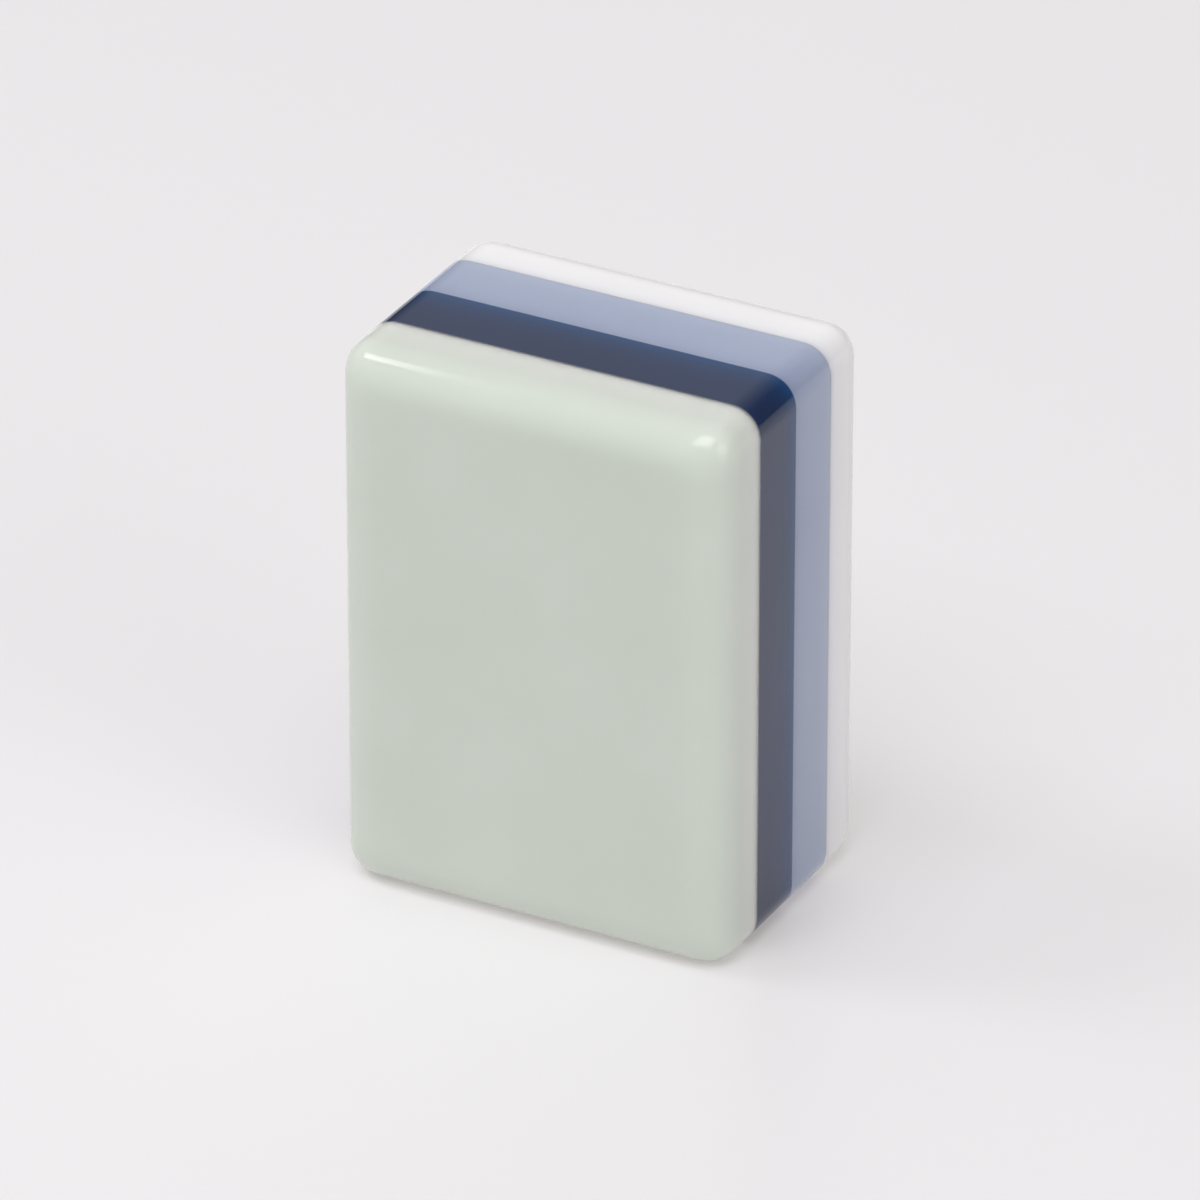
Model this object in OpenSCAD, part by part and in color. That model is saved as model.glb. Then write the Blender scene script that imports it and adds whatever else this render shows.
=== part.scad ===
// Layered mahjong tile, standing on one end.
// Four coloured acrylic slabs lie one behind the other, held together by thin clear bond films.
// Both broad faces are bare, and their rims and the outline's corners are polished round.
// Origin: centre of the lower end. X runs across the width, Y from the mint front to the white
// back, Z up along the height. All sizes are in millimetres.

/* [Outline] */
// Width of the tile
tile_width = 22; // [16:0.5:40]
// Height of the tile when it stands on end
tile_height = 30.4; // [20:0.2:56]
// Radius of the four corners of the outline
corner_radius = 1.6; // [1:0.1:6]

/* [Layers] */
// Thickness of the mint slab, at the front
mint_thickness = 4; // [3:0.05:8]
// Thickness of the navy slab, behind the mint
navy_thickness = 3.75; // [1:0.05:8]
// Thickness of the periwinkle slab, behind the navy
periwinkle_thickness = 3.75; // [1:0.05:8]
// Thickness of the white slab, at the back
white_thickness = 4; // [3:0.05:8]
// Thickness of each clear bond film between two slabs
bond_thickness = 0.05; // [0.03:0.01:0.2]

/* [Rims] */
// Radius of the rounded rim around both broad faces
rim_radius = 2; // [0.5:0.1:3]

/* [Hidden] */
$fn = 96;

// The stack from front to back: every layer starts where the one before it ends
stack_depth = mint_thickness + navy_thickness + periwinkle_thickness + white_thickness
    + 3 * bond_thickness;
mint_front = -stack_depth / 2;
mint_bond_front = mint_front + mint_thickness;
navy_front = mint_bond_front + bond_thickness;
navy_bond_front = navy_front + navy_thickness;
periwinkle_front = navy_bond_front + bond_thickness;
periwinkle_bond_front = periwinkle_front + periwinkle_thickness;
white_front = periwinkle_bond_front + bond_thickness;

// Centres of the corner arcs, to either side of X = 0 and above the lower end
corner_x = tile_width / 2 - corner_radius;
corner_low = corner_radius;
corner_high = tile_height - corner_radius;

// Places one copy of its children at each corner arc's centre
module at_corners() {
    for (x = [-corner_x, corner_x])
        for (z = [corner_low, corner_high])
            translate([x, z])
                children();
}

// The outline without its corner arcs: a cross of two plain rectangles
module outline_cross() {
    translate([-tile_width / 2, corner_low])
        square([tile_width, corner_high - corner_low]);
    translate([-corner_x, 0])
        square([2 * corner_x, tile_height]);
}

// The outline that all the layers share, flush from front to back
module outline() {
    outline_cross();
    at_corners()
        circle(corner_radius);
}

// What the polishing takes off a square edge: all that lies outside the rim's arc
module rim_waste() {
    difference() {
        square(rim_radius);
        circle(rim_radius);
    }
}

// A section across an outer slab: square at the bonded side, round at both edges of the broad face
module rim_section(across, thickness) {
    difference() {
        translate([-across / 2, 0])
            square([across, thickness]);
        for (side = [0, 1])
            mirror([side, 0])
                translate([across / 2 - rim_radius, thickness - rim_radius])
                    rim_waste();
    }
}

// The same section at a corner, from the corner arc's axis outwards
module corner_section(thickness) {
    difference() {
        square([corner_radius, thickness]);
        translate([corner_radius - rim_radius, thickness - rim_radius])
            rim_waste();
    }
}

// A layer between two others, with its front at the given depth
module inner_layer(front, thickness) {
    translate([0, front + thickness, 0])
        rotate([90, 0, 0])
            linear_extrude(thickness)
                outline();
}

// A layer that ends the stack, lying flat with its rounded broad face up
module outer_layer(thickness) {
    intersection() {
        linear_extrude(thickness)
            outline_cross();
        // rounds the rim along both ends
        translate([-tile_width / 2, tile_height / 2, 0])
            rotate([90, 0, 90])
                linear_extrude(tile_width)
                    rim_section(tile_height, thickness);
        // rounds the rim along both sides
        translate([0, tile_height, 0])
            rotate([90, 0, 0])
                linear_extrude(tile_height)
                    rim_section(tile_width, thickness);
    }
    at_corners()
        rotate_extrude()
            corner_section(thickness);
}

module mint_slab() {
    color([0.77, 0.82, 0.77])
        translate([0, mint_bond_front, 0])
            rotate([90, 0, 0])
                outer_layer(mint_thickness);
}

module mint_navy_bond() {
    color([0.45, 0.50, 0.53])
        inner_layer(mint_bond_front, bond_thickness);
}

module navy_slab() {
    color([0.14, 0.20, 0.31])
        inner_layer(navy_front, navy_thickness);
}

module navy_periwinkle_bond() {
    color([0.34, 0.39, 0.50])
        inner_layer(navy_bond_front, bond_thickness);
}

module periwinkle_slab() {
    color([0.55, 0.60, 0.72])
        inner_layer(periwinkle_front, periwinkle_thickness);
}

module periwinkle_white_bond() {
    color([0.74, 0.76, 0.82])
        inner_layer(periwinkle_bond_front, bond_thickness);
}

module white_slab() {
    color([0.92, 0.91, 0.91])
        translate([0, white_front, 0])
            mirror([0, 1, 0])
                rotate([90, 0, 0])
                    outer_layer(white_thickness);
}

mint_slab();
mint_navy_bond();
navy_slab();
navy_periwinkle_bond();
periwinkle_slab();
periwinkle_white_bond();
white_slab();
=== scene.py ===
import math

import bmesh
import bpy
from mathutils import Matrix, Vector


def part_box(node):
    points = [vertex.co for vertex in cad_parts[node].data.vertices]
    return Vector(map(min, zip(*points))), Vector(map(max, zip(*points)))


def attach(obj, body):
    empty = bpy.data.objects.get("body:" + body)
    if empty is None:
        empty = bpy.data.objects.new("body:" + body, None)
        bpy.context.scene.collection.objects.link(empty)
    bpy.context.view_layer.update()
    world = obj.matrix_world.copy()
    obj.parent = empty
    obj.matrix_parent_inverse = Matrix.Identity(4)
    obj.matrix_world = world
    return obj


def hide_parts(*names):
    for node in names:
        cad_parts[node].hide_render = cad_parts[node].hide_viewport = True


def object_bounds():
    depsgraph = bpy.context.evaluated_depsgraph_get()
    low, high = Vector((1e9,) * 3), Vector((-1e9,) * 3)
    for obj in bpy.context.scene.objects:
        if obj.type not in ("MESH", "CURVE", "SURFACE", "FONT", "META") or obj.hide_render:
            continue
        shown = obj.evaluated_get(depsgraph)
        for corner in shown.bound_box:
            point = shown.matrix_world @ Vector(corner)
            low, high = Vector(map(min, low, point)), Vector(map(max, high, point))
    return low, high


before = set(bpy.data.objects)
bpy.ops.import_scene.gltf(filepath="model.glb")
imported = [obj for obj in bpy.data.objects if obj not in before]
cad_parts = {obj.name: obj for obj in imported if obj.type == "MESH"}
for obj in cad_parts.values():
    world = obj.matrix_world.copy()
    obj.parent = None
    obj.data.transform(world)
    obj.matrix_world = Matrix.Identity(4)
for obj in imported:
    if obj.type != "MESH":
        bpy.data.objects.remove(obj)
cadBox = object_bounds()  # the solids' own box, before anything is dressed
mm = 0.001
print("frame loaded:", len(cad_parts), "nodes")


# shader plumbing

class Signal:
    # a value on its way through a material; arithmetic on it adds Math nodes
    def __init__(self, bench, socket):
        self.bench = bench
        self.socket = socket

    def maths(self, operation, *values, clamp=False):
        settings = {"operation": operation, "use_clamp": clamp}
        return self.bench.node("Math", settings, dict(enumerate(values)))

    def __add__(self, other):
        return self.maths("ADD", self, other)

    def __radd__(self, other):
        return self.maths("ADD", other, self)

    def __sub__(self, other):
        return self.maths("SUBTRACT", self, other)

    def __rsub__(self, other):
        return self.maths("SUBTRACT", other, self)

    def __mul__(self, other):
        return self.maths("MULTIPLY", self, other)

    def __rmul__(self, other):
        return self.maths("MULTIPLY", other, self)

    def __truediv__(self, other):
        return self.maths("DIVIDE", self, other)

    def __rtruediv__(self, other):
        return self.maths("DIVIDE", other, self)

    def clamped(self):
        return self.maths("ADD", self, 0.0, clamp=True)

    def atLeast(self, lowest):
        return self.maths("MAXIMUM", self, lowest)

    def fading(self):
        # e to the minus this value: 1 at the start, falling away
        return self.maths("EXPONENT", self * -1.0)


class Bench:
    # one node tree and the single way nodes are put on it
    def __init__(self, tree):
        self.tree = tree
        tree.nodes.clear()

    def node(self, kind, settings=None, sockets=None, output=0):
        made = self.tree.nodes.new("ShaderNode" + kind)
        for name, value in (settings or {}).items():
            setattr(made, name, value)
        for name, value in (sockets or {}).items():
            if isinstance(value, Signal):
                self.tree.links.new(value.socket, made.inputs[name])
            else:
                made.inputs[name].default_value = value
        return Signal(self, made.outputs[output]) if made.outputs else None

    def blend(self, share, first, second):
        # a Mix node on colours; 4.5 keeps its colour sockets at 6 and 7 and its colour output at 2
        return self.node("Mix", {"data_type": "RGBA"}, {0: share, 6: first, 7: second}, output=2)

    def scaled(self, vector, factors):
        return self.node("VectorMath", {"operation": "MULTIPLY"}, {0: vector, 1: factors})

    def along(self, vector, way):
        # how much of the vector runs that way
        return self.node("VectorMath", {"operation": "DOT_PRODUCT"}, {0: vector, 1: way}, output=1)


def paint(red, green, blue):
    # a colour as a picture shows it, 0 to 255, turned into the linear values that a shader takes
    def linear(level):
        share = level / 255
        return share / 12.92 if share <= 0.04045 else ((share + 0.055) / 1.055) ** 2.4
    return (linear(red), linear(green), linear(blue), 1.0)


# the tile's rounded block, cut into layers

tileForm = {
    "rimReach": 2.2 * mm,  # how far the rounding runs in from the edges of the broad faces
    "cornerReach": 1.76 * mm,  # the same at the four corners of the outline
    "faceCornerReach": 1.2 * mm,  # and at the corners of the flat that is left of a broad face
    "fullness": 2.3,  # 2 is a plain arc, and a little more eases into the flats as polishing does
    "cornerSteps": 24,
    "rimSteps": 24,
    "flatMargin": 0.4 * mm,  # a narrow strip that keeps the broad face's shading flat
    "weld": 1e-4 * mm,  # points closer than this become one
}
lowCorner, highCorner = cadBox
halfWidth = (highCorner.x - lowCorner.x) / 2
halfHeight = (highCorner.z - lowCorner.z) / 2
middleHeight = (highCorner.z + lowCorner.z) / 2


def roundShare(step, steps):
    # how much of the reach is used across and along, at one step of a quarter turn
    turn = math.pi / 2 * step / steps
    power = 2 / tileForm["fullness"]
    return abs(math.cos(turn)) ** power, abs(math.sin(turn)) ** power


def ringPoints(share, margin=0.0):
    # one loop round the tile; share is what is left of the rim, from 1 at the side to 0 at the face
    drawnIn = tileForm["rimReach"] * (1 - share) + margin
    cornerReach = tileForm["cornerReach"] * share + tileForm["faceCornerReach"] * (1 - share)
    insideX = halfWidth - drawnIn - cornerReach
    insideZ = halfHeight - drawnIn - cornerReach
    steps = tileForm["cornerSteps"]
    points = []
    for quarter, (sideX, sideZ) in enumerate([(1, 1), (-1, 1), (-1, -1), (1, -1)]):
        for step in range(steps + 1):
            across, up = roundShare(steps - step if quarter % 2 else step, steps)
            x = sideX * (insideX + cornerReach * across)
            z = middleHeight + sideZ * (insideZ + cornerReach * up)
            points.append((x, z))
    return points


def makeLayer(name, node, openFace):
    # openFace is -1 or +1 where the layer ends the stack at the front or the back, 0 between others
    low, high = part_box(node)
    reach = tileForm["rimReach"]
    start, end = (high.y, low.y) if openFace < 0 else (low.y, high.y)
    rings = [(start, ringPoints(1.0))]
    if openFace:
        for step in range(tileForm["rimSteps"] + 1):
            left, used = roundShare(step, tileForm["rimSteps"])
            rings.append((end - openFace * reach * (1 - used), ringPoints(left)))
        rings.append((end, ringPoints(0.0, tileForm["flatMargin"])))
    else:
        rings.append((end, ringPoints(1.0)))
    mesh = bpy.data.meshes.new(name)
    work = bmesh.new()
    loops = [[work.verts.new((x, y, z)) for x, z in points] for y, points in rings]
    for loop, after in zip(loops, loops[1:]):
        for index, vert in enumerate(loop):
            following = (index + 1) % len(loop)
            work.faces.new((vert, loop[following], after[following], after[index]))
    caps = [work.faces.new(loops[0])]
    lastCap = work.faces.new(loops[-1])
    if not openFace:
        caps.append(lastCap)
    for cap in caps:
        for edge in cap.edges:
            edge.smooth = False  # crisp where two layers meet
    for face in work.faces:
        face.smooth = True
    bmesh.ops.remove_doubles(work, verts=work.verts, dist=tileForm["weld"])
    bmesh.ops.recalc_face_normals(work, faces=work.faces)
    work.to_mesh(mesh)
    work.free()
    layer = bpy.data.objects.new(name, mesh)
    bpy.context.scene.collection.objects.link(layer)
    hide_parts(node)
    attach(layer, "root")
    return layer


# polished acrylic, with painted light and shade near the bonds, and the clear bond

castSheet = {
    "cloudScale": 0.12,  # faint clouds per millimetre
    "cloudDetail": 3.0,
    "cloudContrast": 2.4,
    "cloudFrom": 0.7,
}
polish = {
    "gloss": 0.075,  # roughness of a clean polished flat
    "haze": 0.035,  # added by the faint handling marks
    "markScale": 0.22,  # marks per millimetre
    "markDetail": 5.0,
    "markGrain": 0.62,
    "markContrast": 2.6,
    "markFrom": 1.1,
    "ripple": 2.2e-6,  # height of the slow ripple that polishing leaves, in metres
    "rippleScale": 0.30,  # ripples per millimetre
    "rippleDetail": 1.0,
    "index": 1.49,
}


def acrylic(name, look, low, high):
    material = bpy.data.materials.new(name)
    material.use_nodes = True
    bench = Bench(material.node_tree)
    place = bench.node("TexCoord", output="Object")
    spot = bench.scaled(place, (1 / mm, 1 / mm, 1 / mm))  # millimetres from here on
    depth = bench.node("SeparateXYZ", None, {0: spot}, output=1)
    # faint cloudiness of the cast sheet
    cloud = bench.node("TexNoise", None, {
        "Vector": spot,
        "Scale": castSheet["cloudScale"],
        "Detail": castSheet["cloudDetail"],
    })
    cloudShare = (cloud * castSheet["cloudContrast"] - castSheet["cloudFrom"]).clamped()
    colour = bench.blend(cloudShare, paint(*look["pale"]), paint(*look["deep"]))
    # painted light and shade near each bond: the colour fades towards a tint, standing in for light that
    # wanders across the bond
    for edge, sign, paintedBand in ((low.y, 1, look["frontPaintedLightAndShade"]), (high.y, -1, look["backPaintedLightAndShade"])):
        if paintedBand:
            away = (depth - edge / mm) * sign
            share = (away / paintedBand["reach"]).fading() * paintedBand["share"]
            colour = bench.blend(share.clamped(), colour, paint(*paintedBand["tint"]))
    # handling marks dull the gloss in places
    marks = bench.node("TexNoise", None, {
        "Vector": spot,
        "Scale": polish["markScale"],
        "Detail": polish["markDetail"],
        "Roughness": polish["markGrain"],
    })
    markShare = (marks * polish["markContrast"] - polish["markFrom"]).clamped()
    rough = polish["gloss"] + markShare * polish["haze"]
    ripple = bench.node("TexNoise", None, {
        "Vector": spot,
        "Scale": polish["rippleScale"],
        "Detail": polish["rippleDetail"],
    })
    relief = bench.node("Bump", None, {"Strength": 1.0, "Distance": polish["ripple"], "Height": ripple})
    finish = {
        "Base Color": colour,
        "Roughness": rough,
        "Normal": relief,
        "IOR": polish["index"],
    }
    if look["milk"]:
        finish["Subsurface Weight"] = look["milk"]["share"]
        finish["Subsurface Radius"] = look["milk"]["wander"]
        finish["Subsurface Scale"] = look["milk"]["reach"] * mm
    surface = bench.node("BsdfPrincipled", None, finish)
    bench.node("OutputMaterial", None, {"Surface": surface})
    return material


# every reach in a look is in millimetres
mintLook = {
    "pale": (193, 202, 191),
    "deep": (188, 198, 186),
    "milk": {"share": 1.0, "wander": (1.0, 1.0, 1.0), "reach": 1.8},
    "frontPaintedLightAndShade": None,
    # painted light: the mint is paler towards its bond with the navy
    "backPaintedLightAndShade": {"tint": (231, 226, 225), "share": 0.6, "reach": 3.0},
}
navyLook = {
    "pale": (31, 45, 78),
    "deep": (27, 40, 71),
    "milk": None,
    "frontPaintedLightAndShade": None,
    # painted light: the navy is lighter and bluer towards the periwinkle
    "backPaintedLightAndShade": {"tint": (30, 82, 135), "share": 0.5, "reach": 0.8},
}
periwinkleLook = {
    "pale": (158, 167, 190),
    "deep": (153, 162, 186),
    "milk": {"share": 0.5, "wander": (0.8, 0.9, 1.0), "reach": 0.5},
    # painted shade towards the navy and painted light towards the white
    "frontPaintedLightAndShade": {"tint": (80, 95, 130), "share": 0.25, "reach": 0.7},
    "backPaintedLightAndShade": {"tint": (190, 196, 215), "share": 0.3, "reach": 0.9},
}
whiteLook = {
    "pale": (238, 236, 236),
    "deep": (235, 233, 233),
    "milk": {"share": 0.6, "wander": (1.0, 1.0, 1.0), "reach": 0.9},
    # painted shade: the white is darker and bluer towards the periwinkle
    "frontPaintedLightAndShade": {"tint": (180, 186, 210), "share": 0.3, "reach": 0.8},
    "backPaintedLightAndShade": None,
}


def bondLook(first, second):
    # a clear film has no colour of its own and shows the middle of its two neighbours
    def middle(shade):
        return tuple((a + b) // 2 for a, b in zip(first[shade], second[shade]))
    return {
        "pale": middle("pale"),
        "deep": middle("deep"),
        "milk": None,
        "frontPaintedLightAndShade": None,
        "backPaintedLightAndShade": None,
    }


# from front to back: piece, node, slot, look and where the layer ends the stack
stack = [
    ("mintLayer", "mint_slab", "mint_acrylic", mintLook, -1),
    ("mintNavyFilm", "mint_navy_bond", "clear_bond", bondLook(mintLook, navyLook), 0),
    ("navyLayer", "navy_slab", "navy_acrylic", navyLook, 0),
    ("navyPeriwinkleFilm", "navy_periwinkle_bond", "clear_bond", bondLook(navyLook, periwinkleLook), 0),
    ("periwinkleLayer", "periwinkle_slab", "periwinkle_acrylic", periwinkleLook, 0),
    ("periwinkleWhiteFilm", "periwinkle_white_bond", "clear_bond", bondLook(periwinkleLook, whiteLook), 0),
    ("whiteLayer", "white_slab", "white_acrylic", whiteLook, 1),
]
for pieceName, node, slotName, look, openFace in stack:
    piece = makeLayer(pieceName, node, openFace)
    piece.data.materials.append(acrylic(pieceName + "Finish", look, *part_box(node)))
    print("layer made:", pieceName)


# floor, light and camera

floorLook = {
    "size": 6.0,
    "colour": (227, 227, 231),
    "gloss": 0.3,
    "through": 0.30,  # a milky sheet on a light table: this share of its light comes from below
    "glow": (236, 229, 225),  # which makes the shadows a little warmer than the rest
}
floorMesh = bpy.data.meshes.new("floor")
half = floorLook["size"] / 2
floorCorners = [(-half, -half, 0), (half, -half, 0), (half, half, 0), (-half, half, 0)]
floorMesh.from_pydata(floorCorners, [], [(0, 1, 2, 3)])
floor = bpy.data.objects.new("floor", floorMesh)
bpy.context.scene.collection.objects.link(floor)
floorMaterial = bpy.data.materials.new("floorFinish")
floorMaterial.use_nodes = True
floorBench = Bench(floorMaterial.node_tree)
floorSurface = floorBench.node("BsdfPrincipled", None, {
    "Base Color": paint(*floorLook["colour"]),
    "Roughness": floorLook["gloss"],
})
floorGlow = floorBench.node("BsdfTranslucent", None, {"Color": paint(*floorLook["glow"])})
floorMix = floorBench.node("MixShader", None, {0: floorLook["through"], 1: floorSurface, 2: floorGlow})
floorBench.node("OutputMaterial", None, {"Surface": floorMix})
floorMesh.materials.append(floorMaterial)

tileMiddle = Vector((0, 0, middleHeight))
softboxes = [
    # the way from the tile to the lamp, how far it is, its two sides and how bright its cloth is
    {"name": "frontSoftbox", "towards": (0.06, -0.45, 0.89), "away": 0.9, "sides": (0.6, 0.6),
     "radiance": 3.3, "mirrored": True},
    {"name": "leftSoftbox", "towards": (-0.579, -0.21, 0.788), "away": 0.4, "sides": (0.13, 0.11),
     "radiance": 6.0, "mirrored": True},
    {"name": "rightCard", "towards": (0.85, -0.28, 0.42), "away": 0.8, "sides": (0.53, 0.53),
     "radiance": 1.7, "mirrored": True},
    {"name": "backCard", "towards": (-0.45, 0.885, 0.12), "away": 0.7, "sides": (0.6, 0.17),
     "radiance": 5.2, "mirrored": False},  # fills the back without a glint of its own
    {"name": "tableLamp", "towards": (0.0, -0.23, -0.97), "away": 0.052, "sides": (0.03, 0.012),
     "radiance": 0.7, "mirrored": True},  # under the milky floor, below the tile's front foot
]
for box in softboxes:
    lamp = bpy.data.lights.new(box["name"], "AREA")
    lamp.shape = "RECTANGLE"
    lamp.size, lamp.size_y = box["sides"]
    lamp.energy = box["radiance"] * math.pi * lamp.size * lamp.size_y
    holder = bpy.data.objects.new(box["name"], lamp)
    holder.visible_camera = False
    holder.visible_glossy = box["mirrored"]
    towards = Vector(box["towards"]).normalized()
    # the first side runs along the tile's width
    across = (Vector((1, 0, 0)) - towards * towards.x).normalized()
    holder.location = tileMiddle + towards * box["away"]
    holder.rotation_euler = Matrix((across, towards.cross(across), towards)).transposed().to_euler()
    bpy.context.scene.collection.objects.link(holder)

roomLight = {
    "horizon": 0.42,
    "zenith": 0.52,
    "darkSide": (0.55, 0.83, 0.0),  # the room falls off towards the back right
    "darkFrom": 0.4,
    "darkDrop": 1.15,
    "leftSide": (-0.63, 0.77, 0.0),  # and in a patch low at the back left, for the upper left corner
    "leftFrom": 0.88,
    "leftDrop": 4.0,
    "least": 0.08,
    "paleSide": (-0.45, -0.89, 0.0),  # and is lightest low down at the front left
    "paleRise": 0.5,
    "backSide": (-0.45, 0.76, 0.47),  # a soft glow that the upper end mirrors
    "backFrom": 0.6,
    "backRise": 0.32,
    "below": 0.95,  # the light table under the floor
}
world = bpy.data.worlds.new("room")
world.use_nodes = True
bpy.context.scene.world = world
roomBench = Bench(world.node_tree)
towardsSky = roomBench.node("TexCoord", output="Generated")
upward = roomBench.node("SeparateXYZ", None, {0: towardsSky}, output=2)
rise = upward.clamped()
fall = (upward * -1.0).clamped()
dark = (roomBench.along(towardsSky, roomLight["darkSide"]) - roomLight["darkFrom"]).atLeast(0.0)
left = (roomBench.along(towardsSky, roomLight["leftSide"]) - roomLight["leftFrom"]).atLeast(0.0)
pale = roomBench.along(towardsSky, roomLight["paleSide"]).atLeast(0.0)
back = (roomBench.along(towardsSky, roomLight["backSide"]) - roomLight["backFrom"]).atLeast(0.0)
level = roomLight["horizon"] + rise * (roomLight["zenith"] - roomLight["horizon"])
level = level + pale * pale * roomLight["paleRise"] + back * roomLight["backRise"]
level = level - dark * roomLight["darkDrop"] - left * roomLight["leftDrop"]
level = level.atLeast(roomLight["least"]) + fall * roomLight["below"]
roomBackground = roomBench.node("Background", None, {"Color": (1, 1, 1, 1), "Strength": level})
roomBench.node("OutputWorld", None, {"Surface": roomBackground})
print("floor, softboxes and room set")

viewpoint = {
    "towards": (0.4136, -0.7742, 0.4791),
    "away": 0.588,
    "lens": 350,
    "sensor": 36,  # both in millimetres
}
camera = bpy.data.cameras.new("camera")
camera.lens = viewpoint["lens"]
camera.sensor_width = viewpoint["sensor"]
cameraHolder = bpy.data.objects.new("camera", camera)
towardsCamera = Vector(viewpoint["towards"]).normalized()
cameraHolder.location = tileMiddle + towardsCamera * viewpoint["away"]
cameraHolder.rotation_euler = towardsCamera.to_track_quat("Z", "Y").to_euler()
bpy.context.scene.collection.objects.link(cameraHolder)
bpy.context.scene.camera = cameraHolder
bpy.context.scene.view_settings.view_transform = "Standard"
print("camera set")
